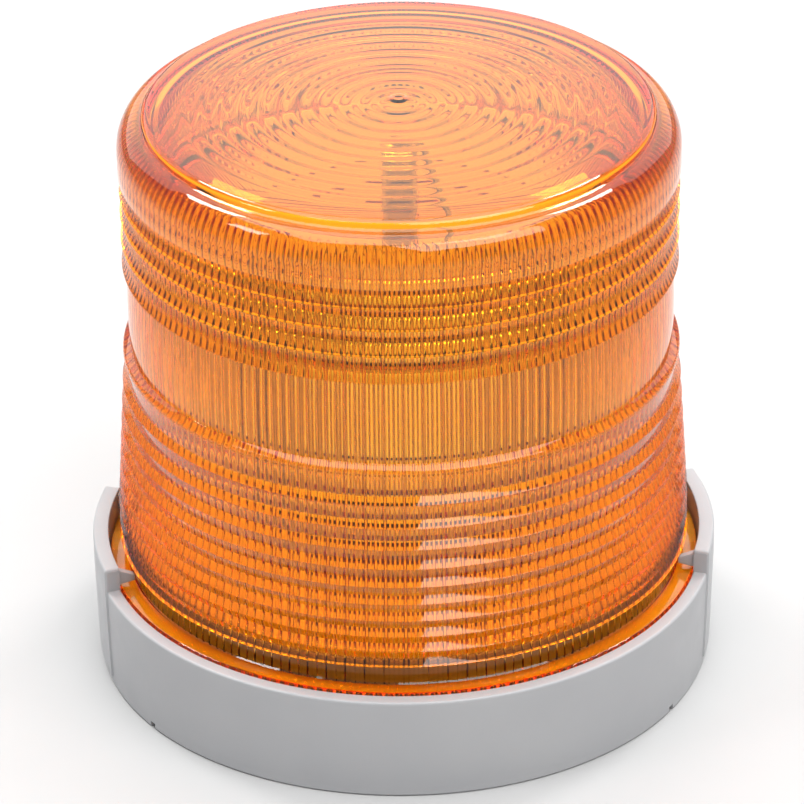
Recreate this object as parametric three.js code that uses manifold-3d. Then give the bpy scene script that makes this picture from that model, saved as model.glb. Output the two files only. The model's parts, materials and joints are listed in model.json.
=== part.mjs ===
// Amber warning beacon: a clear ribbed lens held by the hooks of a round grey base,
// with a plug-in flash lamp and its driver board inside.
// Millimetres, +Z up. The origin is the centre of the base's underside.
import * as THREE from 'three';
import { mergeVertices } from 'three/addons/utils/BufferGeometryUtils.js';
import Module from 'manifold-3d';

const wasm = await Module();
wasm.setup();

// ---- Driving dimensions ----
const BASE_R = 73;              // base wall, outside, at the rim
const FOOT_R = 72.3;            // base wall, outside, at the foot
const WALL_R = 69.75;           // base wall, inside
const RIM_Z = 25.3;             // low rim between the ears
const EAR_Z = 31.1;             // top of the two ears
const EAR_HALF = rad(16);       // half the arc of an ear
const SHELF_Z = 17.5;           // shelf that carries the lens and its gasket
const SHELF_T = 3;
const CUP_R = 61;               // inside of the spigot ring, the base's inner wall
const CUP_WALL_R = 63.5;        // hole in the shelf that the ring stands in
const SPIGOT_R = 62.1;          // outside of its upper part, which centres the lens
const SPIGOT_Z = 29;
const FLOOR_Z = 2.5;            // underside of the floor
const FLOOR_T = 3;
const FLOOR_TOP = FLOOR_Z + FLOOR_T;
const PLATE_SEAT_R = 62;        // rebate in the spigot ring that takes the floor plate

const FLANGE_R = 69.3;          // lens flange, outside
const FLANGE_Z = 22.5;          // its underside
const FLANGE_TOP = 25.6;
const NECK_R = 65.2;            // plain neck between flange and prisms
const PRISM_Z = 31.3;           // lowest prism edge
const LENS_FOOT_R = 66.9;       // outside of the prisms at that edge
const LENS_WAIST_R = 64.2;      // outside of the prisms next to the clear band
const BAND_Z = 81.3;            // clear band, lower and upper edge
const BAND_TOP = 101.5;
const BAND_R = 62.9;
const SHOULDER_Z = 130.4;       // widest part of the shoulder
const SHOULDER_R = 64.3;
const DISC_R = 58.5;            // raised top disc
const DISC_Z = 139.1;
const DISC_STEP = 2.1;          // height of the disc's edge above the shoulder
const CROWN = 1.7;              // how far the disc rises to its centre
const PRISM_DEPTH = 1.2;        // depth of one prism step

const GAP = 0.3;                // clearance between touching pieces
const ROUND = 60;               // sides of a large circle
const SMALL = 16;               // sides of a small circle

const BOARD_R = 48;
const BOARD_Z = 8.8;
const BOARD_T = 1.6;
const BOARD_TOP = BOARD_Z + BOARD_T;
const PART_Z = BOARD_TOP + GAP; // where parts stand on the board
const ENTRY_X = -28;            // wire entry, off centre
const ENTRY_R = 11.1;

// ---- Geometry helpers ----
function rad(degrees) {
  return degrees * Math.PI / 180;
}

// Points on a circle of radius r, at height z, at angle a.
function polar(r, a, z = 0) {
  return new THREE.Vector3(r * Math.cos(a), r * Math.sin(a), z);
}

// A closed mesh with shared vertices, no empty triangles and outward faces.
function tidy(geometry) {
  const bare = geometry.clone();
  bare.deleteAttribute('normal');
  bare.deleteAttribute('uv');
  const merged = mergeVertices(bare, 1e-4);
  const old = merged.index.array;
  const index = [];
  for (let i = 0; i < old.length; i += 3) {
    const [a, b, c] = [old[i], old[i + 1], old[i + 2]];
    if (a !== b && b !== c && c !== a) index.push(a, b, c);
  }
  if (volume(merged.attributes.position, index) < 0) index.reverse();
  merged.setIndex(index);
  return merged;
}

// Signed volume of a triangle mesh.
function volume(position, index) {
  const corner = [0, 1, 2].map(() => new THREE.Vector3());
  let sum = 0;
  for (let i = 0; i < index.length; i += 3) {
    corner.forEach((v, k) => v.fromBufferAttribute(position, index[i + k]));
    sum += corner[0].dot(corner[1].clone().cross(corner[2])) / 6;
  }
  return sum;
}

function toManifold(geometry) {
  const closed = tidy(geometry);
  return new wasm.Manifold(new wasm.Mesh({
    numProp: 3,
    vertProperties: new Float32Array(closed.attributes.position.array),
    triVerts: new Uint32Array(closed.index.array),
  }));
}

function fromManifold(manifold) {
  const mesh = manifold.getMesh();
  const geometry = new THREE.BufferGeometry();
  geometry.setAttribute('position', new THREE.BufferAttribute(mesh.vertProperties, 3));
  geometry.setIndex(new THREE.BufferAttribute(mesh.triVerts, 1));
  return geometry;
}

// The body with every one of the tools added to it, then the cuts taken away.
function shape(body, { add = [], cut = [] }) {
  let solid = toManifold(body);
  for (const tool of add) solid = solid.add(toManifold(tool));
  for (const tool of cut) solid = solid.subtract(toManifold(tool));
  return fromManifold(solid);
}

// A solid of revolution about Z from [radius, height] pairs.
function turned(profile, sides = SMALL) {
  const points = profile.map(([r, z]) => new THREE.Vector2(r, z));
  return new THREE.LatheGeometry(points, sides).rotateX(Math.PI / 2);
}

// A ring: the profile closes on itself.
function ring(profile, sides = ROUND) {
  return turned([...profile, profile[0]], sides);
}

// An upright cylinder from z0 to z1.
function post(r, z0, z1, x = 0, y = 0, sides = SMALL) {
  const cylinder = new THREE.CylinderGeometry(r, r, z1 - z0, sides);
  return cylinder.rotateX(Math.PI / 2).translate(x, y, (z0 + z1) / 2);
}

// A box by its size and the middle of its underside.
function block(dx, dy, dz, x, y, z) {
  return new THREE.BoxGeometry(dx, dy, dz).translate(x, y, z + dz / 2);
}

// A flat outline in the R-Z plane, thickened along the tangent at angle a.
function fin(outline, thickness, a) {
  const flat = new THREE.Shape(outline.map(([r, z]) => new THREE.Vector2(r, z)));
  const solid = new THREE.ExtrudeGeometry(flat, { depth: thickness, bevelEnabled: false });
  return solid.translate(0, 0, -thickness / 2).rotateX(Math.PI / 2).rotateZ(a);
}

// A wedge from the axis outward, between the angles a0 and a1.
function wedge(a0, a1, z0, z1) {
  const reach = 2 * BASE_R;
  const flat = new THREE.Shape([
    new THREE.Vector2(0, 0),
    new THREE.Vector2(reach * Math.cos(a0), reach * Math.sin(a0)),
    new THREE.Vector2(reach * Math.cos(a1), reach * Math.sin(a1)),
  ]);
  const solid = new THREE.ExtrudeGeometry(flat, { depth: z1 - z0, bevelEnabled: false });
  return solid.translate(0, 0, z0);
}

// A round wire of radius r along a curve.
function wire(curve, r, steps, sides = 8) {
  const section = new THREE.Shape();
  for (let i = 0; i < sides; i += 1) {
    const p = polar(r, 2 * Math.PI * i / sides);
    if (i === 0) section.moveTo(p.x, p.y);
    else section.lineTo(p.x, p.y);
  }
  return new THREE.ExtrudeGeometry(section, { steps, extrudePath: curve, curveSegments: 1 });
}

// ---- Materials ----
const finish = {
  grey: { color: 0xaeaeb3, roughness: 0.5, metalness: 0 },
  amber: { color: 0xe87a1e, roughness: 0.15, metalness: 0, transparent: true, opacity: 0.75 },
  rubber: { color: 0x2b2b2b, roughness: 0.9, metalness: 0 },
  silicone: { color: 0xdedbd4, roughness: 0.6, metalness: 0 },
  white: { color: 0xe9e7e0, roughness: 0.5, metalness: 0 },
  board: { color: 0x2f6b3c, roughness: 0.5, metalness: 0 },
  black: { color: 0x1d1d1f, roughness: 0.55, metalness: 0 },
  steel: { color: 0xb9bcc0, roughness: 0.3, metalness: 1 },
  brass: { color: 0xc9a552, roughness: 0.35, metalness: 1 },
  copper: { color: 0xb8713d, roughness: 0.4, metalness: 1 },
  ceramic: { color: 0xe6dfd0, roughness: 0.6, metalness: 0 },
  glass: { color: 0xdfe6ea, roughness: 0.05, metalness: 0, transparent: true, opacity: 0.5 },
  sleeve: { color: 0x27406f, roughness: 0.4, metalness: 0 },
};

const assembly = new THREE.Group();

function place(name, geometry, look) {
  const mesh = new THREE.Mesh(tidy(geometry), new THREE.MeshStandardMaterial(finish[look]));
  mesh.name = name;
  assembly.add(mesh);
  return mesh;
}

// ---- Base ----
const MOUNT_HOLE = { r: 2.6, at: 54.5, count: 4, start: rad(45) };
const BOSS = { r: 4, at: 56, count: 4, start: 0, pilot: 1.3, depth: 9 };

// The angles of an evenly spaced circle of features.
function around({ count, start }) {
  return Array.from({ length: count }, (_, i) => start + 2 * Math.PI * i / count);
}

function mountHoles(z0, z1) {
  return around(MOUNT_HOLE).map((a) => {
    const p = polar(MOUNT_HOLE.at, a);
    return post(MOUNT_HOLE.r, z0, z1, p.x, p.y);
  });
}

// The plan angles of the four ear ends, and which way each ear lies from its end.
const earEnds = [0, Math.PI].flatMap((middle) => [-1, 1].map((side) => ({
  angle: middle + side * EAR_HALF,
  inward: -side,
})));

// A snap hook at an ear's end: it ramps down on top and is flat underneath.
function snapHook({ angle, inward }) {
  const thickness = 1.8;
  const tipR = 66;
  const root = WALL_R + 0.4;
  const middle = angle + inward * (thickness / 2 + 0.5) / WALL_R;
  const outline = [[root, 26.3], [root, 30.3], [tipR, 28.4], [tipR, 27]];
  return fin(outline, thickness, middle);
}

function makeBase() {
  const body = ring([
    [CUP_WALL_R, SHELF_Z - SHELF_T], [WALL_R - 0.3, SHELF_Z - SHELF_T],
    [WALL_R - 0.6, 0.5], [WALL_R - 0.1, 0], [FOOT_R - 0.5, 0], [FOOT_R, 0.5],
    [BASE_R, RIM_Z - 0.4], [BASE_R - 0.4, RIM_Z], [WALL_R, RIM_Z],
    [WALL_R, SHELF_Z], [CUP_WALL_R, SHELF_Z],
  ]);
  const collar = ring([
    [WALL_R, RIM_Z - 1], [BASE_R - 0.03, RIM_Z - 1],
    [BASE_R, RIM_Z - 0.4], [BASE_R, EAR_Z - 0.4],
    [BASE_R - 0.4, EAR_Z], [WALL_R + 0.4, EAR_Z], [WALL_R, EAR_Z - 0.4],
  ]);
  const gaps = [0, Math.PI].map((middle) => {
    const start = middle + EAR_HALF;
    return [start, start + Math.PI / 2 - EAR_HALF, start + Math.PI - 2 * EAR_HALF];
  });
  const cuts = gaps.flatMap(([a, b, c]) => [
    wedge(a, b + 0.01, RIM_Z - 2, EAR_Z + 1),
    wedge(b, c, RIM_Z - 2, EAR_Z + 1),
  ]);
  const ears = shape(collar, { cut: cuts });
  const drains = [-1, 1].flatMap((side) => [0, Math.PI].map((middle) => {
    const notch = block(8, 2, 1.9, FOOT_R, 0, -0.7);
    return notch.rotateZ(middle + side * rad(33.4));
  }));
  return shape(body, { add: [ears, ...earEnds.map(snapHook)], cut: drains });
}

// The inner wall: it holds the floor plate's edge and centres the lens.
function makeSpigotRing() {
  const wall = CUP_WALL_R - GAP;
  return ring([
    [PLATE_SEAT_R, FLOOR_Z], [wall, FLOOR_Z], [wall, SHELF_Z - 1],
    [SPIGOT_R, SHELF_Z], [SPIGOT_R, SPIGOT_Z], [CUP_R, SPIGOT_Z],
    [CUP_R, FLOOR_TOP + GAP], [PLATE_SEAT_R, FLOOR_TOP + GAP],
  ]);
}

// The floor plate, with the bosses that carry the reflector.
function makeFloor() {
  const bosses = around(BOSS).map((a) => {
    const p = polar(BOSS.at, a);
    return post(BOSS.r, FLOOR_TOP - 1, SHELF_Z, p.x, p.y);
  });
  const pilots = around(BOSS).map((a) => {
    const p = polar(BOSS.at, a);
    return post(BOSS.pilot, SHELF_Z - BOSS.depth, SHELF_Z + 1, p.x, p.y, 8);
  });
  return shape(post(PLATE_SEAT_R - GAP, FLOOR_Z, FLOOR_TOP, 0, 0, ROUND), {
    add: bosses,
    cut: [
      ...pilots, ...mountHoles(0, FLOOR_TOP + 1),
      post(ENTRY_R, 0, FLOOR_TOP + 1, ENTRY_X, 0, 24),
    ],
  });
}

function makeMountingPad() {
  return shape(post(CUP_WALL_R - 0.7, 0, FLOOR_Z - GAP, 0, 0, ROUND), {
    cut: [...mountHoles(-1, FLOOR_Z), post(ENTRY_R + 1.5, -1, FLOOR_Z, ENTRY_X, 0, 24)],
  });
}

// A rubber grommet whose groove holds the edge of the wire entry.
function makeGrommet() {
  const [bore, neck, lip] = [4.5, ENTRY_R - GAP, ENTRY_R + 1.2];
  return ring([
    [bore, 0.3], [lip, 0.3], [lip, FLOOR_Z - GAP], [neck, FLOOR_Z - GAP],
    [neck, FLOOR_TOP + GAP], [lip, FLOOR_TOP + GAP], [lip - 1, FLOOR_TOP + 2.2],
    [bore + 1.5, FLOOR_TOP + 2.2], [bore, FLOOR_TOP + 1.4],
  ], 24).translate(ENTRY_X, 0, 0);
}

place('base_housing', makeBase(), 'grey');
place('spigot_ring', makeSpigotRing(), 'grey');
place('base_floor', makeFloor(), 'grey');
place('mounting_pad', makeMountingPad(), 'rubber');
place('wire_grommet', makeGrommet(), 'rubber');

// ---- Lens ----
// Prism steps between two heights. Above the clear band each step leans out
// on its way down; below the band each leans in.
function prismSteps(z0, z1, r0, r1, count, leansOut) {
  const points = [];
  for (let i = 0; i < count; i += 1) {
    const [t0, t1] = [i / count, (i + 1) / count];
    const [a, b] = [t0, t1].map((t) => [r0 + (r1 - r0) * t, z0 + (z1 - z0) * t]);
    const inner = leansOut ? b : a;
    inner[0] -= PRISM_DEPTH;
    points.push([a[0], a[1] + 0.15], [b[0], b[1] - 0.15]);
  }
  return points;
}

// The rounded shoulder, from its widest point up to the foot of the disc.
function shoulderArc(steps) {
  const [rx, rz] = [SHOULDER_R - DISC_R - 0.1, DISC_Z - DISC_STEP - SHOULDER_Z];
  return Array.from({ length: steps + 1 }, (_, i) => {
    const a = (Math.PI / 2) * i / steps;
    return [DISC_R + 0.1 + rx * Math.cos(a), SHOULDER_Z + rz * Math.sin(a)];
  });
}

function makeLens() {
  const [crown, disc] = [DISC_Z + CROWN, DISC_Z];
  const gate = { r: 1.1, z: crown + 0.4 };
  const outside = [
    [FLANGE_R, FLANGE_Z], [FLANGE_R, FLANGE_TOP - 0.3], [FLANGE_R - 0.4, FLANGE_TOP],
    [NECK_R, FLANGE_TOP], [NECK_R, PRISM_Z - 0.9],
    ...prismSteps(PRISM_Z, BAND_Z - 4, LENS_FOOT_R, LENS_WAIST_R, 3, false),
    [LENS_WAIST_R, BAND_Z - 1], [BAND_R, BAND_Z], [BAND_R, BAND_TOP - 1],
    ...prismSteps(BAND_TOP, SHOULDER_Z, LENS_WAIST_R, SHOULDER_R, 2, true),
    ...shoulderArc(3),
    [DISC_R, disc], [25, crown - 0.3], [gate.r, crown], [gate.r, gate.z], [0, gate.z],
  ];
  const inside = [
    [0, crown - 3.4], [54, disc - 3.3], [60.9, SHOULDER_Z - 1.5], [60.9, BAND_TOP],
    [60.6, BAND_Z], [62.4, PRISM_Z], [63.3, FLANGE_Z],
  ];
  return turned([...outside.reverse(), ...inside.reverse()], ROUND);
}

place('lens_dome', makeLens(), 'amber');
place('lens_gasket', ring([
  [SPIGOT_R + GAP, SHELF_Z + GAP], [FLANGE_R - 0.2, SHELF_Z + GAP],
  [FLANGE_R - 0.2, FLANGE_Z - GAP], [SPIGOT_R + GAP, FLANGE_Z - GAP],
]), 'silicone');

// ---- Driver board, fixed to the floor on four standoffs ----
const STANDOFF = { r: 3.2, at: 43, count: 4, start: rad(22.5), bore: 1.8 };

function makeBoard() {
  const holes = around(STANDOFF).map((a) => {
    const p = polar(STANDOFF.at, a);
    return post(STANDOFF.bore, BOARD_Z - 1, BOARD_TOP + 1, p.x, p.y, 8);
  });
  const entry = post(ENTRY_R + 2.4, BOARD_Z - 1, BOARD_TOP + 1, ENTRY_X, 0, 24);
  const disc = post(BOARD_R, BOARD_Z, BOARD_TOP, 0, 0, 48);
  return shape(disc, { cut: [...holes, entry] });
}

// A pan-head machine screw standing on the origin, with a slot across its head.
function screw(headR, headH, shankR, shankL) {
  const body = turned([
    [0, -shankL], [shankR, -shankL], [shankR, 0], [headR, 0],
    [headR, headH * 0.6], [headR * 0.7, headH], [0, headH],
  ], 12);
  return shape(body, { cut: [block(3 * headR, 0.7, headH, 0, 0, headH * 0.5)] });
}

function placeStandoff(a, i) {
  const p = polar(STANDOFF.at, a);
  const [low, high] = [FLOOR_TOP + GAP, BOARD_Z - GAP];
  const sleeve = ring([
    [STANDOFF.bore, low], [STANDOFF.r, low], [STANDOFF.r, high], [STANDOFF.bore, high],
  ], 8);
  place(`board_standoff_${i + 1}`, sleeve.translate(p.x, p.y, 0), 'brass');
  const head = screw(3, 1.8, STANDOFF.bore - GAP, 4.2).rotateZ(a);
  place(`board_screw_${i + 1}`, head.translate(p.x, p.y, BOARD_TOP + GAP), 'steel');
}

// A part with its axis lying along X.
function lying(r, length, sides = 12) {
  return new THREE.CylinderGeometry(r, r, length, sides).rotateZ(Math.PI / 2);
}

// The terminal block: three screw wells on top, three wire holes in front.
const TERMINAL = { x: -20, y: 28, pitch: 8, w: 26, d: 9, h: 6.6, wellR: 2.4 };
const terminals = [-1, 0, 1].map((i) => TERMINAL.x + i * TERMINAL.pitch);

function makeTerminalBlock() {
  const { x, y, w, d, h, wellR } = TERMINAL;
  return shape(block(w, d, h, x, y, PART_Z), {
    cut: terminals.flatMap((tx) => [
      post(wellR, PART_Z + h - 3.2, PART_Z + h + 1, tx, y, 12),
      block(3.2, 4, 2, tx, y - d / 2, PART_Z + 1),
    ]),
  });
}

function placeTerminals() {
  place('terminal_block', makeTerminalBlock(), 'black');
  terminals.forEach((x, i) => {
    const head = screw(TERMINAL.wellR - GAP, 2, 1, 0.1).rotateZ(0.6 * i);
    place(`terminal_screw_${i + 1}`,
      head.translate(x, TERMINAL.y, PART_Z + TERMINAL.h - 2.8), 'steel');
  });
}

// A capacitor can: a rolled groove near one end.
function makeCapacitor() {
  const [r, length] = [3.3, 24];
  return turned([
    [0, 0], [r, 0], [r, 2.5], [r - 0.5, 3], [r, 3.5], [r, length], [0, length],
  ], 14).rotateY(Math.PI / 2).translate(13, 22, PART_Z + r);
}

function placeBoardParts() {
  place('driver_board', makeBoard(), 'board');
  around(STANDOFF).forEach(placeStandoff);
  placeTerminals();
  place('storage_capacitor', makeCapacitor(), 'sleeve');
  place('trigger_coil', lying(3.2, 12).translate(30, -20, PART_Z + 3.2), 'copper');
  place('choke_ring', new THREE.TorusGeometry(6.4, 2.4, 8, 20)
    .translate(31, 2, PART_Z + 2.4), 'copper');
  place('timer_chip', block(10, 6.4, 2.4, 1, 37, PART_Z), 'black');
  place('rectifier', block(8, 3, 6, 8, -26, PART_Z), 'black');
  place('line_resistor', lying(1.9, 11).translate(-4, -30, PART_Z + 1.9), 'ceramic');
  place('surge_disc', post(3.4, -1.4, 1.4, 0, 0, 14).rotateX(Math.PI / 2)
    .translate(-17, -27, PART_Z + 3.4), 'sleeve');
  place('line_fuse', lying(2.4, 15).translate(4, -38, PART_Z + 2.4), 'glass');
}

placeBoardParts();

// Earth screw on the floor beside the board.
const earth = polar(54.5, rad(157.5));
place('earth_screw', screw(3.4, 2.2, 1.5, 0.1)
  .translate(earth.x, earth.y, FLOOR_TOP + GAP), 'brass');

// ---- Reflector: a shallow white cone that covers the board ----
const REFLECTOR = { r: CUP_R - 0.6, t: 1.5, hole: 14.5, rise: 4.2, rim: 9 };

function makeReflector() {
  const { r, t, hole, rise, rim } = REFLECTOR;
  const z = SHELF_Z + GAP;
  const cone = ring([
    [hole, z + rise], [r - rim, z], [r, z], [r, z + t], [r - rim, z + t],
    [hole, z + rise + t],
  ]);
  const holes = around(BOSS).map((a) => {
    const p = polar(BOSS.at, a);
    return post(2, z - 1, z + t + 1, p.x, p.y, 10);
  });
  return shape(cone, { cut: holes });
}

// A thin white band that lines the spigot ring above the plate.
function makeLiner() {
  const [outer, inner] = [CUP_R - GAP, CUP_R - 1.3];
  const low = SHELF_Z + REFLECTOR.t + 2 * GAP;
  return ring([[inner, low], [outer, low], [outer, SPIGOT_Z], [inner, SPIGOT_Z]]);
}

place('reflector_plate', makeReflector(), 'white');
place('reflector_liner', makeLiner(), 'white');
around(BOSS).forEach((a, i) => {
  const p = polar(BOSS.at, a);
  const head = screw(3.2, 1.9, BOSS.pilot - GAP, 7).rotateZ(a + 0.5);
  const z = SHELF_Z + REFLECTOR.t + 2 * GAP;
  place(`reflector_screw_${i + 1}`, head.translate(p.x, p.y, z), 'steel');
});

// ---- Flash lamp: it plugs into a socket on the board ----
const SOCKET_TOP = 23.7;
const PIN = { r: 1.3, at: 8, count: 3, start: rad(90), length: 7 };
const PUCK = { r: 15.5, z: SOCKET_TOP + GAP, h: 9, neckR: 10, neckH: 5 };
const PUCK_TOP = PUCK.z + PUCK.h + PUCK.neckH;
const CAP_H = 3.6;              // height of a tube's end cap
const TUBE = { r: 4.2, z0: PUCK_TOP + CAP_H + 2 * GAP, length: 79 };
const WIRE_R = 0.8;

function makeSocket() {
  const holes = around(PIN).map((a) => {
    const p = polar(PIN.at, a);
    return post(PIN.r + GAP, SOCKET_TOP - PIN.length - 0.7, SOCKET_TOP + 1, p.x, p.y, 10);
  });
  const body = turned([
    [0, PART_Z], [13, PART_Z], [13, PART_Z + 5], [12, PART_Z + 6],
    [12, SOCKET_TOP - 1], [11.2, SOCKET_TOP], [0, SOCKET_TOP],
  ], 24);
  return shape(body, { cut: holes });
}

function makeLampBase() {
  const { r, z, h, neckR, neckH } = PUCK;
  return turned([
    [0, z], [r - 1, z], [r, z + 1], [r, z + h - 1.5], [r - 1.5, z + h],
    [neckR, z + h], [neckR - 1, z + h + neckH], [0, z + h + neckH],
  ], 32);
}

function makeTube() {
  const { r, z0, length } = TUBE;
  const z1 = z0 + length;
  return turned([
    [0, z0], [r - 1.4, z0], [r - 0.4, z0 + 0.8], [r, z0 + 2.2],
    [r, z1 - 2.2], [r - 0.4, z1 - 0.8], [r - 1.4, z1], [0, z1],
  ], 20);
}

function makeElectrode(z, flare) {
  return turned([
    [0, z], [3.2, z], [flare, z + 0.8], [flare, z + CAP_H - 1], [2.4, z + CAP_H],
    [0, z + CAP_H],
  ], 16);
}

// The return lead: from over the tube's top cap, out and down to the lamp base.
function makeReturnLead() {
  const [out, start] = [13, -2];
  const top = TUBE.z0 + TUBE.length + CAP_H + 2 * GAP + WIRE_R;
  const low = PUCK.z + PUCK.h + GAP;
  const curve = new THREE.CatmullRomCurve3([
    new THREE.Vector3(start, 0, top), new THREE.Vector3(3.2, 0, top),
    new THREE.Vector3(5.6, 0, top - 0.9), new THREE.Vector3(7.2, 0, top - 5),
    new THREE.Vector3(out - 1.2, 0, top - 20), new THREE.Vector3(out, 0, top - 27),
    new THREE.Vector3(out, 0, top - 40),
    new THREE.Vector3(out, 0, low),
  ], false, 'centripetal');
  return wire(curve, WIRE_R, 40, 6);
}

// The trigger wire: a fine helix around the glass.
class Helix extends THREE.Curve {
  constructor(r, z0, z1, turns) {
    super();
    Object.assign(this, { r, z0, z1, turns });
  }

  getPoint(t, target = new THREE.Vector3()) {
    const a = 2 * Math.PI * this.turns * t;
    return target.copy(polar(this.r, a, this.z0 + (this.z1 - this.z0) * t));
  }
}

function placeLamp() {
  const top = TUBE.z0 + TUBE.length;
  place('lamp_base', makeLampBase(), 'ceramic');
  around(PIN).forEach((a, i) => {
    const p = polar(PIN.at, a);
    const pin = post(PIN.r, SOCKET_TOP - PIN.length, SOCKET_TOP, p.x, p.y, 10);
    place(`lamp_pin_${i + 1}`, pin, 'brass');
  });
  place('lower_electrode', makeElectrode(PUCK_TOP + GAP, 3.6), 'steel');
  place('flash_tube', makeTube(), 'glass');
  place('upper_electrode', makeElectrode(top + GAP, 4.6), 'steel');
  place('return_lead', makeReturnLead().rotateZ(rad(-20)), 'steel');
  const coil = new Helix(TUBE.r + 0.6, TUBE.z0 + 8, top - 12, 5);
  place('trigger_wire', wire(coil, 0.3, 60, 5), 'copper');
}

place('lamp_socket', makeSocket(), 'black');
placeLamp();

export default assembly;
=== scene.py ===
"""Looks of the amber warning beacon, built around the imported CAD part.

Lengths in the shape code are millimetres in the CAD part's frame; skin() turns
them into metres. -Y is the front, and the two ears of the base are on +X and -X.
"""

import json
import math

import bmesh
import bpy
import numpy as np
from mathutils import Matrix, Vector


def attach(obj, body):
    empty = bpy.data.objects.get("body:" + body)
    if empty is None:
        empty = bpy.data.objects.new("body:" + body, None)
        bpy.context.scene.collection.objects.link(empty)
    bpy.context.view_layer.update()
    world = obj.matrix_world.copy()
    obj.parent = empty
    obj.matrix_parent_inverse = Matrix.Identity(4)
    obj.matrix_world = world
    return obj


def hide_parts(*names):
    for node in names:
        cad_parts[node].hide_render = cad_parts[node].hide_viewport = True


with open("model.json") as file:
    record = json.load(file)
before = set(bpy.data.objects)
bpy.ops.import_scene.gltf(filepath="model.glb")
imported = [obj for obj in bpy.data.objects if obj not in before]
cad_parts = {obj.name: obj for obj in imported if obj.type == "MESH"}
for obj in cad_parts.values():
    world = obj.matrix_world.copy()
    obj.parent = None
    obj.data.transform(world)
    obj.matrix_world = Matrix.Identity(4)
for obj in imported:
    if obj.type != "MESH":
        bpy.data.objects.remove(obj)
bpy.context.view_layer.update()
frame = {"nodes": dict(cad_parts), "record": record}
MM = 0.001
TAU = 2 * math.pi

# ---- Driving dimensions. The CAD part has the same, except that the finished lens
# flange is thinner from below: FLANGE_FOOT is 0.9 mm higher, on a thicker gasket ----
BASE_R, FOOT_R, WALL_R = 73.0, 72.3, 69.75
RIM_Z, EAR_Z, EAR_HALF = 25.3, 31.1, math.radians(16)
RIM_MID_R = 71.4  # distances along the rim are measured at this radius
SHELF_Z, CUP_R, CUP_WALL_R, FLOOR_Z, FLOOR_TOP = 17.5, 61.0, 63.5, 2.5, 5.5
SPIGOT_R, SPIGOT_Z = 62.1, 29.0
FLANGE_R, FLANGE_FOOT, FLANGE_TOP, NECK_R = 69.3, 23.4, 25.6, 65.2
GAP = 0.3  # round the gasket
BAND_Z, BAND_TOP = 81.3, 101.5
SHOULDER_Z, SHOULDER_R = 130.4, 64.3
DISC_R, DISC_Z, DISC_STEP, CROWN, CROWN_R = 58.5, 139.1, 2.1, 1.7, 57.4
SCREW_CIRCLE_R, BOSS_CIRCLE_R, WIRE_ENTRY_X = 54.5, 56.0, -28.0

# ---- Finer shapes of the lens, which the CAD part doesn't have ----
FLUTES, FLUTE_DEPTH = 180, 0.4
ROW_WAVE, ROW_WAVE_STEP = 0.19, 1.6
RING_PITCH, RING_DEPTH = 4.4, 0.09


# ---- Node trees ----
class Look:
    """A procedural material: a Principled shader and the nodes that feed it."""

    def __init__(self, name, **sockets):
        self.material = bpy.data.materials.new(name)
        self.material.use_nodes = True
        self.tree = self.material.node_tree
        self.tree.nodes.clear()
        self.output = self.add("ShaderNodeOutputMaterial")
        self.shader = self.add("ShaderNodeBsdfPrincipled", **sockets)
        self.link(self.shader.outputs["BSDF"], self.output.inputs["Surface"])
        self.place = self.add("ShaderNodeTexCoord").outputs["Object"]

    def add(self, kind, **sockets):
        node = self.tree.nodes.new(kind)
        for key, value in sockets.items():
            node.inputs[key.replace("_", " ")].default_value = value
        return node

    def link(self, a, b):
        self.tree.links.new(a, b)

    def noise(self, size_mm, detail=3.0, rough=0.5):
        """A noise value whose blobs are about size_mm across."""
        mapping = self.add("ShaderNodeMapping")
        mapping.inputs["Scale"].default_value = [1 / (size_mm * MM)] * 3
        self.link(self.place, mapping.inputs["Vector"])
        noise = self.add("ShaderNodeTexNoise", Scale=1.0, Detail=detail, Roughness=rough)
        self.link(mapping.outputs["Vector"], noise.inputs["Vector"])
        return noise.outputs["Fac"]

    def ramp(self, value, stops):
        """value as a colour, from stops of (position, red-green-blue)."""
        node = self.add("ShaderNodeValToRGB")
        elements = node.color_ramp.elements
        while len(elements) < len(stops):
            elements.new(0.5)
        for element, (at, colour) in zip(elements, stops):
            element.position = at
            element.color = (*colour, 1)
        self.link(value, node.inputs["Fac"])
        return node.outputs["Color"]

    def spread(self, value, low, high, at=(0.3, 0.7)):
        """value, moved from the range at to the range low to high."""
        node = self.add("ShaderNodeMapRange")
        for key, v in zip(("From Min", "From Max", "To Min", "To Max"), (*at, low, high)):
            node.inputs[key].default_value = v
        self.link(value, node.inputs["Value"])
        return node.outputs["Result"]

    def colour(self, value):
        self.link(value, self.shader.inputs["Base Color"])

    def roughness(self, value):
        self.link(value, self.shader.inputs["Roughness"])

    def bump(self, *layers):
        """Bumps, each a (height value, depth in mm, strength)."""
        normal = None
        for value, depth, strength in layers:
            node = self.add("ShaderNodeBump", Strength=strength, Distance=depth * MM)
            self.link(value, node.inputs["Height"])
            if normal:
                self.link(normal, node.inputs["Normal"])
            normal = node.outputs["Normal"]
        self.link(normal, self.shader.inputs["Normal"])


def grey_plastic():
    look = Look("housing_grey", Specular_IOR_Level=0.45)
    shades = [(0.3, (0.36, 0.363, 0.376)), (0.7, (0.386, 0.388, 0.397))]
    look.colour(look.ramp(look.noise(26, 4), shades))
    look.roughness(look.spread(look.noise(9, 4), 0.34, 0.46))
    look.bump((look.noise(0.9, 3, 0.6), 0.035, 0.6), (look.noise(14, 2), 0.25, 0.25))
    return look.material


def amber_plastic():
    look = Look("lens_amber", IOR=1.49, Roughness=0.015, Base_Color=(1.0, 0.75, 0.36, 1))
    look.shader.inputs["Transmission Weight"].default_value = 1.0
    look.bump((look.noise(11, 2), 0.05, 0.3))
    soak = look.add("ShaderNodeVolumeAbsorption", Density=1000.0)
    soak.inputs["Color"].default_value = (0.996, 0.91, 0.5, 1)
    look.link(soak.outputs["Volume"], look.output.inputs["Volume"])
    return look.material


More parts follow.
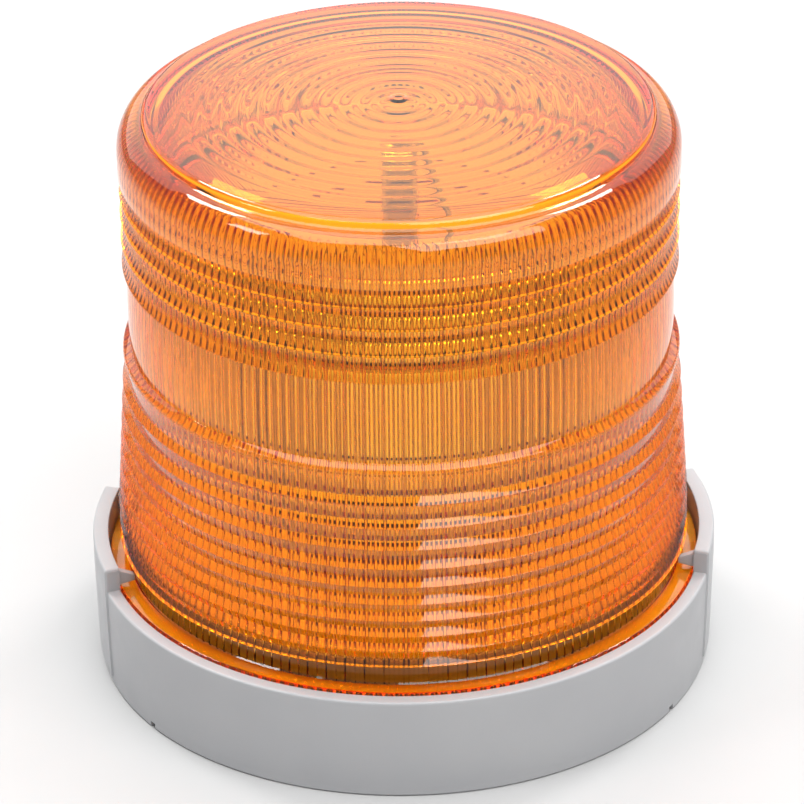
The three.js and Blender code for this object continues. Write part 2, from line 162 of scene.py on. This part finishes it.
def rubber():
    look = Look("rubber_black", Specular_IOR_Level=0.3)
    look.colour(look.ramp(look.noise(8, 4), [(0.3, (0.012, 0.012, 0.013)), (0.7, (0.026, 0.026, 0.027))]))
    look.roughness(look.spread(look.noise(3, 3), 0.72, 0.9))
    look.bump((look.noise(0.6, 3, 0.7), 0.05, 0.7))
    return look.material


def moulded(name, dark, light, rough, grain=1.2):
    look = Look(name, Specular_IOR_Level=0.5)
    look.colour(look.ramp(look.noise(12, 4), [(0.3, dark), (0.7, light)]))
    look.roughness(look.spread(look.noise(5, 3), rough - 0.06, rough + 0.06))
    look.bump((look.noise(grain, 3, 0.6), 0.03, 0.5))
    return look.material


def gloss_white():
    look = Look("reflector_white", Specular_IOR_Level=1.0, Coat_Weight=1.0, Coat_Roughness=0.08)
    look.colour(look.ramp(look.noise(12, 4), [(0.3, (0.80, 0.785, 0.75)), (0.7, (0.85, 0.84, 0.81))]))
    look.roughness(look.spread(look.noise(5, 3), 0.1, 0.2))
    look.bump((look.noise(7, 2), 0.04, 0.3))
    return look.material


def metal(name, dark, light, rough):
    look = Look(name, Metallic=1.0)
    look.colour(look.ramp(look.noise(4, 4), [(0.3, dark), (0.7, light)]))
    look.roughness(look.spread(look.noise(1.5, 3), rough - 0.08, rough + 0.1))
    look.bump((look.noise(0.4, 3, 0.6), 0.01, 0.5))
    return look.material


def wound_copper():
    look = Look("copper_wound", Metallic=1.0, Roughness=0.35)
    wave = look.add("ShaderNodeTexWave", Scale=420.0, Distortion=0.6, Detail=1.0)
    wave.bands_direction = "X"
    look.link(look.place, wave.inputs["Vector"])
    look.colour(look.ramp(wave.outputs["Fac"], [(0.1, (0.25, 0.085, 0.03)), (0.8, (0.62, 0.27, 0.12))]))
    look.bump((wave.outputs["Fac"], 0.12, 0.8))
    return look.material


def circuit_board():
    look = Look("board_green", Specular_IOR_Level=0.5, Roughness=0.3)
    cells = look.add("ShaderNodeTexVoronoi", Scale=160.0)
    cells.distance = "MANHATTAN"
    look.link(look.place, cells.inputs["Vector"])
    tracks = look.spread(cells.outputs["Distance"], 0, 1, (0.42, 0.5))
    look.colour(look.ramp(tracks, [(0.0, (0.012, 0.075, 0.025)), (1.0, (0.03, 0.16, 0.05))]))
    look.bump((tracks, 0.04, 0.6), (look.noise(0.7), 0.01, 0.4))
    return look.material


def clear_glass():
    """Clear glass with a slight smoky tint, as in a used flash tube."""
    look = Look("glass_clear", IOR=1.47, Roughness=0.0, Base_Color=(0.62, 0.62, 0.62, 1))
    look.shader.inputs["Transmission Weight"].default_value = 1.0
    look.bump((look.noise(9, 2), 0.04, 0.2))
    return look.material


LOOKS = {
    "housing_grey": grey_plastic(),
    "lens_amber": amber_plastic(),
    "rubber_black": rubber(),
    "silicone_white": moulded("silicone_white", (0.80, 0.785, 0.75), (0.84, 0.83, 0.80), 0.5, 1.5),
    "reflector_white": gloss_white(),
    "board_green": circuit_board(),
    "steel_plated": metal("steel_plated", (0.50, 0.51, 0.53), (0.68, 0.69, 0.70), 0.30),
    "brass_plain": metal("brass_plain", (0.55, 0.37, 0.12), (0.72, 0.52, 0.20), 0.32),
    "copper_wound": wound_copper(),
    "plastic_black": moulded("plastic_black", (0.012, 0.012, 0.013), (0.022, 0.022, 0.024), 0.45),
    "ceramic_cream": moulded("ceramic_cream", (0.66, 0.61, 0.50), (0.74, 0.70, 0.60), 0.55, 0.8),
    "glass_clear": clear_glass(),
    "sleeve_blue": moulded("sleeve_blue", (0.015, 0.04, 0.14), (0.025, 0.06, 0.19), 0.3, 3.0),
}
SLOT_OF = {s["node"]: s["material_slot"] for s in frame["record"]["subparts"]}


# ---- Meshes ----
def piece(name, mesh, slot, body, replaced=(), sharp=32):
    """A finished piece on a body, in the finish of a slot of the record."""
    for face in mesh.polygons:
        face.use_smooth = True
    mesh.set_sharp_from_angle(angle=math.radians(sharp))
    mesh.materials.append(LOOKS[slot])
    thing = bpy.data.objects.new(name, mesh)
    bpy.context.scene.collection.objects.link(thing)
    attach(thing, body)
    if replaced:
        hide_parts(*replaced)


def skin(name, rings, closed=False):
    """A mesh over rings of points. Each ring's count divides, or is a multiple of,
    its neighbours'; a ring of one point is a pole. Closed joins last to first."""
    points, starts, faces = [], [], []
    for ring in rings:
        starts.append(len(points))
        points.extend((np.atleast_2d(ring) * MM).tolist())
    pairs = list(zip(range(len(rings) - 1), range(1, len(rings))))
    if closed:
        pairs.append((len(rings) - 1, 0))
    for i, j in pairs:
        n, m = (1 if np.ndim(rings[k]) == 1 else len(rings[k]) for k in (i, j))
        steps = min(n, m) if min(n, m) > 1 else max(n, m)
        for s in range(steps):
            a = run(starts[i], n, s, steps)
            b = run(starts[j], m, s, steps)
            faces.append(tuple(a + b[::-1]))
    mesh = bpy.data.meshes.new(name)
    mesh.from_pydata(points, [], faces)
    return outward(mesh)


def run(start, count, step, steps):
    """The points of one ring that one face touches."""
    if count == 1:
        return [start]
    each = count // steps
    return [start + (step * each + k) % count for k in range(each + 1)]


def outward(mesh):
    """The mesh with every face turned outward."""
    work = bmesh.new()
    work.from_mesh(mesh)
    bmesh.ops.recalc_face_normals(work, faces=work.faces)
    if work.calc_volume(signed=True) < 0:
        bmesh.ops.reverse_faces(work, faces=work.faces)
    work.to_mesh(mesh)
    work.free()
    return mesh


def circle(r, z, sides, ripple=0.0, waves=0):
    """A ring of points; ripple is how far waves move it in and out, by turns a
    quarter more and a quarter less."""
    a = np.arange(sides) * TAU / sides
    rr = r + ripple * (np.cos(waves * a) + 0.25 * np.cos(waves * a / 2))
    return np.stack([rr * np.cos(a), rr * np.sin(a), np.full(sides, float(z))], 1)


def turned(name, profile, sides, closed=True):
    """A solid of revolution: a closed [radius, height] outline, or, with closed
    off, one that starts and ends on the axis."""
    rings = [np.array([0.0, 0.0, z]) if r == 0 else circle(r, z, sides) for r, z in profile]
    return skin(name, rings, closed)


def arc(centre, radii, start, end, steps):
    """Points of an ellipse's arc in the radius-height plane, angles in degrees."""
    angles = [math.radians(start + (end - start) * i / steps) for i in range(steps + 1)]
    return [(centre[0] + radii[0] * math.cos(a), centre[1] + radii[1] * math.sin(a)) for a in angles]


def combine(name, solid, tools, operation):
    """solid with tools, one mesh of separate solids, added or cut away."""
    a, b = (bpy.data.objects.new(name + tag, mesh) for tag, mesh in (("_a", solid), ("_b", tools)))
    for thing in (a, b):
        bpy.context.scene.collection.objects.link(thing)
    step = a.modifiers.new("step", "BOOLEAN")
    step.object, step.operation, step.solver = b, operation, "EXACT"
    bpy.context.view_layer.update()
    made = bpy.data.meshes.new_from_object(a.evaluated_get(bpy.context.evaluated_depsgraph_get()))
    for thing in (a, b):
        bpy.data.objects.remove(thing)
    made.name = name
    return made


def joined(name, meshes):
    """Several meshes as one."""
    work = bmesh.new()
    for mesh in meshes:
        work.from_mesh(mesh)
    made = bpy.data.meshes.new(name)
    work.to_mesh(made)
    work.free()
    return made


def moved(mesh, x=0.0, turn=0.0):
    """The mesh turned about Z, after a move of x millimetres along X."""
    mesh.transform(Matrix.Rotation(turn, 4, "Z") @ Matrix.Translation(Vector((x, 0, 0)) * MM))
    return mesh


def rod(r, z0, z1, sides=32):
    """A plain upright cylinder on the axis."""
    return turned("rod", [(0, z0), (r, z0), (r, z1), (0, z1)], sides, closed=False)


def box(x, y, z):
    """A box between the (low, high) pairs."""
    work = bmesh.new()
    bmesh.ops.create_cube(work, size=1.0)
    for v in work.verts:
        v.co = Vector([(lo + (hi - lo) * (c + 0.5)) * MM for c, (lo, hi) in zip(v.co, (x, y, z))])
    made = bpy.data.meshes.new("box")
    work.to_mesh(made)
    work.free()
    return made


# ---- Lens ----
def crown_rise(r):
    """How far the disc's dome stands above its edge at a radius."""
    return CROWN * (1 - (r / CROWN_R) ** 2)


def disc_and_shoulder():
    """The gate mark, the crowned disc, its rounded edge and the shoulder."""
    top, foot = DISC_Z + CROWN, DISC_Z - DISC_STEP
    gate = [(0, top + 0.1), (0.9, top + 0.3), (1.5, top + 0.25), (2.1, top)]
    crown = [(r, DISC_Z + crown_rise(r)) for r in (3.0, 8, 16, 24, 32, 40, 48, 54)]
    bend_r, bend_drop = 56.5, 1.9
    edge = arc((bend_r, DISC_Z - bend_drop), (DISC_R - bend_r, bend_drop), 90, 25, 9)
    edge.append((DISC_R, foot + 0.35))
    start = DISC_R + 0.4
    shoulder = arc((start, SHOULDER_Z), (SHOULDER_R - start, foot - SHOULDER_Z), 88, 0, 12)
    return gate + crown + edge + shoulder + [(SHOULDER_R, 128.0), (64.35, 125.5), (64.2, 125.2)]


def upper_rows():
    """The four prism rows above the clear band."""
    points = []
    ledges = [125.2, 120.3, 114.9, 108.5, BAND_TOP + 0.5]
    for upper, lower in zip(ledges, ledges[1:]):
        points += [(62.7, upper - 0.12), (62.95, lower + 1.7)]
        points += [(63.95, lower + 0.45), (64.05, lower + 0.2), (63.9, lower)]
    return points


def clear_band():
    """The smooth band, which bulges slightly, and the bead below it."""
    half = (BAND_TOP - BAND_Z) / 2
    steps = [1 - i / 4 for i in range(9)]
    bulge = [(63.15 - 0.45 * t * t, BAND_Z + half * (1 + t)) for t in steps]
    return bulge + [(64.2, 80.5), (64.5, 80.1), (64.6, 79.4), (64.4, 78.7)]


def lower_rows():
    """Ten prism rows, from 6.6 mm high at the top to 3.9 mm at the bottom."""
    points, z = [], 78.4
    for k in range(10):
        z -= 0.987 * (3.8 + 2.9 * 0.72 ** k)
        out = 66.9 - 2.0 * max(z - 40, 0) / 32
        points += [(out - 1.2, z + 1.7), (out - 0.12, z + 0.15), (out, z), (out - 0.06, z - 0.15)]
    return points


def neck_and_flange():
    """The plain neck below the rows, and the flange down to its underside."""
    neck = [(65.9, 30.9), (65.5, 30.7), (NECK_R, 30.4), (NECK_R, FLANGE_TOP + 0.35)]
    top = [(NECK_R + 0.35, FLANGE_TOP), (FLANGE_R - 0.35, FLANGE_TOP), (FLANGE_R - 0.1, FLANGE_TOP - 0.1)]
    side = [(FLANGE_R, FLANGE_TOP - 0.35), (FLANGE_R, FLANGE_FOOT + 0.2), (FLANGE_R - 0.2, FLANGE_FOOT)]
    return neck + top + side


def lens_outside():
    """Rings from the middle of the disc down to the flange's underside."""
    outline = disc_and_shoulder() + upper_rows() + clear_band() + lower_rows() + neck_and_flange()
    return [np.array([0.0, 0, z]) if r == 0 else circle(r, z, FLUTES) for r, z in outline]


def lens_inside():
    """Rings up the fluted inner wall and in over the ringed underside of the disc."""
    fine = 12 * FLUTES
    rings = [circle(r, z, fine) for r, z in ((63.5, FLANGE_FOOT), (63.2, FLANGE_FOOT + 0.4))]
    wall = [(62.7, 30.0), (62.3, 31.6), (61.4, 56), (60.6, 80), (60.5, 91), (60.5, 102)]
    wall += [(60.5 + ROW_WAVE * (-1) ** k, 103.5 + ROW_WAVE_STEP * k) for k in range(17)]
    rings += [circle(r, z, fine, FLUTE_DEPTH, FLUTES) for r, z in wall]
    rings += [circle(59.8, 131.2, fine, 0.3, FLUTES), circle(58.9, 132.8, fine, 0.12, FLUTES)]
    rings += [circle(r, z, FLUTES) for r, z in ((58.0, 133.5), (56.5, 134.2), (50.5, 136.3))]
    middle = DISC_Z - 3.3
    for i in range(67, 2, -1):
        r = RING_PITCH * i / 6
        rings.append(circle(r, middle + crown_rise(r) - RING_DEPTH * math.cos(TAU * i / 6), FLUTES))
    return rings + [np.array([0.0, 0.0, middle + CROWN])]


piece("lens", skin("lens", lens_outside() + lens_inside()), "lens_amber", "lens", ["lens_dome"], sharp=38)


# ---- Base ----
def rim_height(inside):
    """Height of the rim near an ear's end; inside is how far inside the ear, in
    millimetres along the rim."""
    corner = 0.6
    if inside <= 0:
        return RIM_Z
    t = min(max((0.05 + corner - inside) / corner, 0.0), 1.0)
    return EAR_Z - corner * (1 - math.sqrt(1 - t * t))


def base_angles():
    """Angles round the base, closer together at the ends of the ears."""
    # distances from an ear's end along the rim, positive inside the ear
    near = [-0.5, -0.05, 0.001, 0.05, 0.12, 0.2, 0.36, 0.65, 1.2]
    ends = [m + side * (EAR_HALF - s / RIM_MID_R) for m in (0, math.pi) for side in (-1, 1) for s in near]
    plain = [TAU * i / 240 for i in range(240)]
    special = sorted(a % TAU for a in ends)
    far = [a for a in plain if all(abs((a - s + math.pi) % TAU - math.pi) > 0.012 for s in special)]
    return sorted(special + far)


def base_section(angle):
    """The base's outline at an angle: from the foot over the rim and the spigot to
    the top of the floor, and, apart from it, the underside from the floor to the foot."""
    side = min(abs((angle - m + math.pi) % TAU - math.pi) for m in (0, math.pi))
    inside = (EAR_HALF - side) * RIM_MID_R
    top = rim_height(inside)
    proud = 0.4 * min(max(inside / 0.2, 0.0), 1.0)
    wall = BASE_R - 0.02 + proud
    outer = [(FOOT_R - 0.7, 0.0), (FOOT_R - 0.25, 0.08), (FOOT_R - 0.02, 0.4), (FOOT_R, 2.0)]
    outer += [(FOOT_R + 0.05 + proud, 2.4), (FOOT_R + 0.3 + proud, 10), (wall, RIM_Z - 1.2)]
    outer += [(wall, top - 0.9)] + arc((wall - 0.55, top - 0.55), (0.55, 0.55), 0, 90, 4)
    inner = arc((WALL_R + 0.35, top - 0.35), (0.35, 0.35), 90, 180, 3) + [(WALL_R, RIM_Z - 1.2)]
    inner += [(WALL_R, SHELF_Z + 0.5), (WALL_R - 0.5, SHELF_Z)]
    inner += [(SPIGOT_R + 0.4, SHELF_Z), (SPIGOT_R, SHELF_Z + 0.4)]
    inner += [(SPIGOT_R, SPIGOT_Z - 0.4), (SPIGOT_R - 0.3, SPIGOT_Z)]
    inner += [(CUP_R + 0.3, SPIGOT_Z), (CUP_R, SPIGOT_Z - 0.4)]
    inner += [(CUP_R, FLOOR_TOP + 0.8), (CUP_R - 0.8, FLOOR_TOP)]
    under = [(CUP_WALL_R - 0.5, FLOOR_Z), (CUP_WALL_R, FLOOR_Z + 0.5), (CUP_WALL_R, SHELF_Z - 3.6)]
    under += [(CUP_WALL_R + 0.6, SHELF_Z - 3), (WALL_R - 0.9, SHELF_Z - 3), (WALL_R - 0.3, SHELF_Z - 3.6)]
    under += [(WALL_R - 0.6, 0.5), (WALL_R - 0.1, 0.0)]
    return outer + inner, under


def make_base():
    """The floor, walls, shelf, spigot and ears in one shell, with its bosses and holes."""
    angles = base_angles()
    sections = [base_section(a) for a in angles]
    unit = [np.array([math.cos(a), math.sin(a)]) for a in angles]

    def ring(part, k):
        return np.array([[*(u * s[part][k][0]), s[part][k][1]] for u, s in zip(unit, sections)])

    above = [ring(0, k) for k in range(len(sections[0][0]))]
    below = [ring(1, k) for k in range(len(sections[0][1]))]
    rings = [np.array([0.0, 0.0, FLOOR_Z])] + below + above + [np.array([0.0, 0.0, FLOOR_TOP])]
    body = skin("base_shell", rings)
    quarters = [TAU * i / 4 for i in range(4)]
    bosses = [moved(rod(4, FLOOR_TOP - 1, SHELF_Z - 0.02), x=BOSS_CIRCLE_R, turn=a) for a in quarters]
    body = combine("base_shell", body, joined("bosses", bosses), "UNION")
    through = (0.5, FLOOR_TOP + 1)
    cuts = [moved(rod(2.6, *through), x=SCREW_CIRCLE_R, turn=a + TAU / 8) for a in quarters]
    cuts += [moved(rod(1.3, SHELF_Z - 9, SHELF_Z + 1, 16), x=BOSS_CIRCLE_R, turn=a) for a in quarters]
    cuts.append(moved(rod(11.1, *through, 64), x=WIRE_ENTRY_X))
    for middle in (0, math.pi):
        for side in (-1, 1):
            notch = box((FOOT_R - 4, FOOT_R + 4), (-0.9, 0.9), (-1, 1.5))
            cuts.append(moved(notch, turn=middle + side * math.radians(33.4)))
    return combine("base_shell", body, joined("cuts", cuts), "DIFFERENCE")


CAD_BASE = ["base_housing", "spigot_ring", "base_floor"]
piece("base_shell", make_base(), "housing_grey", "base", CAD_BASE, sharp=28)


def snap_hook(index, angle, inward):
    """A hook at an ear's end, over the lens flange."""
    root, tip, half = WALL_R + 0.4, 66.0, 0.9
    outline = [(root, 26.3), (root, 30.3), (tip, 28.4), (tip, 27.0)]
    ring = [np.array([[r, s * half, z] for r, z in outline]) for s in (-1, 1)]
    work = bmesh.new()
    sides = [[work.verts.new(Vector(p) * MM) for p in part] for part in ring]
    for part in sides:
        work.faces.new(part)
    for k in range(4):
        n = (k + 1) % 4
        work.faces.new((sides[0][k], sides[0][n], sides[1][n], sides[1][k]))
    bmesh.ops.recalc_face_normals(work, faces=work.faces)
    bmesh.ops.bevel(work, geom=work.edges[:], offset=0.22 * MM, segments=3, affect="EDGES", profile=0.6)
    mesh = bpy.data.meshes.new("snap_hook")
    work.to_mesh(mesh)
    work.free()
    moved(mesh, turn=angle + inward * (half + 0.5) / WALL_R)
    piece(f"snap_hook_{index}", mesh, "housing_grey", "base")


ENDS = [(middle + side * EAR_HALF, -side) for middle in (0, math.pi) for side in (-1, 1)]
for number, (at, way) in enumerate(ENDS, 1):
    snap_hook(number, at, way)


# ---- Flash tube, gasket and liner ----
def flash_tube():
    """A hollow glass tube, where the CAD part has a solid rod."""
    r, wall, low, high = 4.2, 0.9, 42.2, 121.2
    ease = 0.6
    outer = [(r - ease, low), (r, low + ease), (r, high - ease), (r - ease, high)]
    return turned("glass_tube", outer + [(r - wall, high), (r - wall, low)], 64)


def band(name, inner, outer, low, high, slot, replaced):
    """A round band with eased edges."""
    e = 0.25
    section = [(inner + e, low), (outer - e, low), (outer, low + e), (outer, high - e)]
    section += [(outer - e, high), (inner + e, high), (inner, high - e), (inner, low + e)]
    piece(name, turned(name, section, 240), slot, "base", [replaced])


piece("glass_tube", flash_tube(), "glass_clear", "lamp", ["flash_tube"])
band("gasket", SPIGOT_R + GAP, 69.1, SHELF_Z + GAP, FLANGE_FOOT - GAP, "silicone_white", "lens_gasket")
band("liner", 59.7, 60.7, 19.6, SPIGOT_Z, "reflector_white", "reflector_liner")

# ---- Pieces kept from the CAD part ----
for name, thing in frame["nodes"].items():
    thing.data.materials.clear()
    thing.data.materials.append(LOOKS[SLOT_OF[name]])
    if not thing.hide_render:
        edge = thing.modifiers.new("edge", "BEVEL")
        edge.width, edge.segments = 0.15 * MM, 2
        edge.limit_method, edge.angle_limit = "ANGLE", math.radians(40)


# ---- Stage ----
def floor_look():
    look = Look("floor_pale", Roughness=0.6, Specular_IOR_Level=0.2)
    look.colour(look.ramp(look.noise(60, 2), [(0.3, (0.425, 0.425, 0.425)), (0.7, (0.44, 0.44, 0.44))]))
    return look.material


floor_mesh = bpy.data.meshes.new("floor")
REACH = 3.0
corners = [(x * REACH, y * REACH, 0) for x, y in ((-1, -1), (1, -1), (1, 1), (-1, 1))]
floor_mesh.from_pydata(corners, [], [(0, 1, 2, 3)])
floor_mesh.materials.append(floor_look())
floor = bpy.data.objects.new("floor", floor_mesh)
bpy.context.scene.collection.objects.link(floor)
floor.location.z = -0.0001

world = bpy.data.worlds.new("studio")
bpy.context.scene.world = world
world.use_nodes = True
backdrop = world.node_tree.nodes["Background"].inputs
backdrop["Color"].default_value = (1, 1, 1, 1)
backdrop["Strength"].default_value = 0.5


def softbox(name, place, target, size, power):
    """A rectangular soft light; place, target and size in metres."""
    light = bpy.data.lights.new(name, "AREA")
    light.shape, light.size, light.size_y = "RECTANGLE", *size
    light.energy = power
    thing = bpy.data.objects.new(name, light)
    bpy.context.scene.collection.objects.link(thing)
    thing.location = place
    thing.rotation_mode = "QUATERNION"
    thing.rotation_quaternion = (Vector(target) - Vector(place)).to_track_quat("-Z", "Y")


softbox("top_light", (0, -0.05, 1.1), (0, 0, 0), (1.2, 1.1), 16)
softbox("back_light", (0, 1.0, 0.72), (0, 0, 0.1), (2.4, 0.95), 10)
softbox("left_light", (-0.75, -0.25, 0.75), (0, 0, 0.1), (0.25, 0.18), 1.6)
softbox("front_light", (0.4, -0.6, 0.9), (0, 0, 0.05), (0.9, 0.5), 7)
for side in (-1, 1):
    softbox(f"rear_light_{side + 2}", (0.5 * side, 0.5, 1.0), (0, 0, 0.08), (0.25, 0.25), 4.5)

# ---- Camera: 1.2 m away, 28.9 degrees above the horizon ----
cam = bpy.data.cameras.new("camera")
camera = bpy.data.objects.new("camera", cam)
bpy.context.scene.collection.objects.link(camera)
bpy.context.scene.camera = camera
azimuth, elevation, roll = (math.radians(v) for v in (-2.2, 28.9, -0.69))
level = math.cos(elevation)
back = Vector((math.sin(azimuth) * level, -math.cos(azimuth) * level, math.sin(elevation)))
camera.location = Vector((0, 0, 0.06)) + back * 1.2
camera.rotation_mode = "QUATERNION"
camera.rotation_quaternion = (-back).to_track_quat("-Z", "Y")
camera.rotation_quaternion @= Matrix.Rotation(roll, 4, "Z").to_quaternion()
cam.sensor_width, cam.lens = 36.0, 229.7
cam.shift_x, cam.shift_y = -0.0003, 0.0115
cam.clip_start, cam.clip_end = 0.05, 20
bpy.context.scene.view_settings.view_transform = "Standard"
